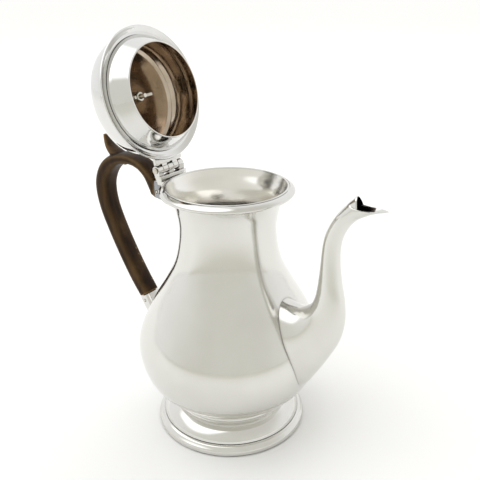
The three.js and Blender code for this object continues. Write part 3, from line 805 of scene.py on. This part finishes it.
FINIAL_SIDES = 64
clear = BOLT + GAP        # radius of the holes that the bolt runs through
settle(lathe("finial_foot", rounded([(clear, 23.8), (6.4, 23.5), (6.8, 24.4), (5.6, 25.3), (4.2, 26.2),
                                     (4.4, 27), (clear, 27)], 0.25), FINIAL_SIDES, LID_PLACE),
       "lid", [polished], ["finial_collar"])
knop = curve([(3.6, 27.3), (5, 28.6), (4.3, 30.4), (6.3, 34), (7.2, 37.6), (6.2, 41.6), (3.2, 44.6)], 60)
settle(lathe("finial_wooden_knop", [(clear, 27.3)] + knop + [(clear, 44.6)], FINIAL_SIDES, LID_PLACE),
       "lid", [wood], ["finial_knop"])
settle(lathe("finial_bolt_silver", [(0, 7.5), (1.3, 7.5), (BOLT, 7.8), (BOLT, 44.9), (3.3, 44.9),
                                    (3.4, 45.7), (2.9, 46.5), (2.4, 46.9), (1.2, 47.3), (0, 47.4)],
             AROUND_SMALL, LID_PLACE),
       "lid", [fitting], ["finial_bolt"])
settle(lathe("finial_washer_silver", rounded([(clear, 21), (5.6, 21), (5.6, 21.7), (clear, 21.7)], 0.15),
             AROUND_SMALL, LID_PLACE), "lid", [fitting], ["finial_washer"])


def wing_nut():
    """A boss with two rounded wings that stand out along the hinge's direction."""
    half_span = 9.0
    nut = lathe("finial_wing_nut_silver", [(0, 11.5), (2.7, 11.5), (3.05, 11.8), (4.2, 20.4),
                                           (3.9, 20.7), (0, 20.7)], AROUND_SMALL, LID_PLACE)
    outline = curve([(2.2, 18.9), (5.0, 17.6), (8.0, 14.8), (half_span, 11.4), (8.3, 8.9), (6.6, 8.6),
                     (4.6, 10.3), (2.2, 12.7)], 36)
    for side in (-1, 1):
        flat = [[(x, side * y, z) for y, z in outline] for x in (-1, 1)]
        wing = bevel(skin(f"wing_{side}", flat, LID_PLACE), 0.5, 3)
        nut = cut(nut, wing, "UNION")
    bore = lathe("nut_bore", [(0, 5), (clear, 5), (clear, 25), (0, 25)], AROUND_SMALL, LID_PLACE)
    return cut(nut, bore)


settle(wing_nut(), "lid", [fitting], ["finial_wing_nut"])

# ---------------------------------------------------------------- camera

CAMERA_FROM_AXIS = (233.29, -310.32, 291.86)      # millimetres from the foot of the body's axis
CAMERA_TURN = math.radians(35.823)
CAMERA_PITCH = math.radians(22.80)
CAMERA_ROLL = math.radians(-0.746)
CAMERA_LENS = 50.17       # for a sensor 36 mm wide

camera_data = bpy.data.cameras.new("camera")
camera_data.sensor_width = 36
camera_data.lens = CAMERA_LENS
camera_data.clip_end = 50
camera = bpy.data.objects.new("camera", camera_data)
bpy.context.scene.collection.objects.link(camera)
forward = Vector((-math.sin(CAMERA_TURN) * math.cos(CAMERA_PITCH),
                  math.cos(CAMERA_TURN) * math.cos(CAMERA_PITCH), -math.sin(CAMERA_PITCH)))
level = Vector((math.cos(CAMERA_TURN), math.sin(CAMERA_TURN), 0))
upright = level.cross(forward)
right = level * math.cos(CAMERA_ROLL) + upright * math.sin(CAMERA_ROLL)
up = upright * math.cos(CAMERA_ROLL) - level * math.sin(CAMERA_ROLL)
turned = Matrix((right, up, -forward)).transposed().to_4x4()
spot = Vector(CAMERA_FROM_AXIS) * MM + Vector((AXIS_X * MM, 0, 0))
camera.matrix_world = Matrix.Translation(spot) @ turned
bpy.context.scene.camera = camera

# ---------------------------------------------------------------- floor and light

FLOOR_REACH = 20          # metres
FLOOR_SHADES_FROM = 0.09  # metres from the pot to where the paper starts to darken
FLOOR_SHADES_TO = 0.75
OPEN_SIDE = (0.585, -0.811)       # level direction from the pot to the light tent's open side

corners = [(x * FLOOR_REACH, y * FLOOR_REACH, 0) for x, y in ((-1, -1), (1, -1), (1, 1), (-1, 1))]
floor_mesh = bpy.data.meshes.new("floor")
floor_mesh.from_pydata(corners, [], [(0, 1, 2, 3)])
floor = bpy.data.objects.new("floor", floor_mesh)
bpy.context.scene.collection.objects.link(floor)
paper, paper_tree, paper_shader, paper_place = material("floor_paper")
# The paper darkens towards the light tent's open side, from FLOOR_SHADES_FROM to FLOOR_SHADES_TO metres.
# This is painted shade for the dimmer light from that side.
front = paper_tree.nodes.new("ShaderNodeVectorMath")
front.operation = "DOT_PRODUCT"
front.inputs[1].default_value = (*OPEN_SIDE, 0)
paper_tree.links.new(paper_place, front.inputs[0])
shaded = remap(paper_tree, front.outputs["Value"], 0, 1, FLOOR_SHADES_FROM, FLOOR_SHADES_TO)
paper_tone_and_shade = ramp(paper_tree, shaded, [(0, (0.91, 0.91, 0.905)), (1, (0.69, 0.685, 0.63))])
paper_tree.links.new(paper_tone_and_shade, paper_shader.inputs["Base Color"])
paper_shader.inputs["Roughness"].default_value = 0.9
paper_shader.inputs["Specular IOR Level"].default_value = 0.0
floor_mesh.materials.append(paper)

world = bpy.data.worlds.new("studio")
bpy.context.scene.world = world
world.use_nodes = True
sky = world.node_tree
background = sky.nodes["Background"]
background.inputs["Strength"].default_value = 1.04
direction = sky.nodes.new("ShaderNodeTexCoord").outputs["Generated"]


def patch(toward, start, end):
    """1 within start degrees of a direction in the sky, falling smoothly to 0 at end degrees."""
    dot = sky.nodes.new("ShaderNodeVectorMath")
    dot.operation = "DOT_PRODUCT"
    dot.inputs[1].default_value = Vector(toward).normalized()
    sky.links.new(direction, dot.inputs[0])
    made = sky.nodes.new("ShaderNodeMapRange")
    made.interpolation_type = "SMOOTHSTEP"
    made.inputs["From Min"].default_value = math.cos(math.radians(end))
    made.inputs["From Max"].default_value = math.cos(math.radians(start))
    sky.links.new(dot.outputs["Value"], made.inputs["Value"])
    return made.outputs["Result"]


colour = None
for toward, start, end, tone in (
    ((*OPEN_SIDE, 0.1), 10, 120, (0.77, 0.765, 0.71)),       # the open side of the light tent
    ((0.50, 0.05, 0.87), 12, 48, (0.72, 0.71, 0.67)),        # a dim corner of its roof
    ((-0.349, -0.358, 0.866), 28, 38, (1.6, 1.6, 1.6)),      # its lit roof
):
    mix = sky.nodes.new("ShaderNodeMix")
    mix.data_type = "RGBA"
    mix.inputs["B"].default_value = (*tone, 1)
    if colour is None:
        mix.inputs["A"].default_value = (1, 1, 1, 1)
    else:
        sky.links.new(colour, mix.inputs["A"])
    sky.links.new(patch(toward, start, end), mix.inputs["Factor"])
    colour = mix.outputs["Result"]
sky.links.new(colour, background.inputs["Color"])


def softbox(name, position, size, power):
    """A square light aimed at the pot, which mirrors in nothing."""
    data = bpy.data.lights.new(name, "AREA")
    data.shape = "SQUARE"
    data.size = size
    data.energy = power
    made = bpy.data.objects.new(name, data)
    bpy.context.scene.collection.objects.link(made)
    made.location = position
    made.visible_glossy = False
    aim = Vector((AXIS_X * MM, 0, 0.12)) - Vector(position)
    made.rotation_euler = aim.to_track_quat("-Z", "Y").to_euler()


softbox("softbox_left", (-1.2, -0.4, 1.2), 1.0, 2)
softbox("softbox_back", (-0.3, 1.4, 1.6), 1.6, 6)

bpy.context.scene.view_settings.view_transform = "Standard"
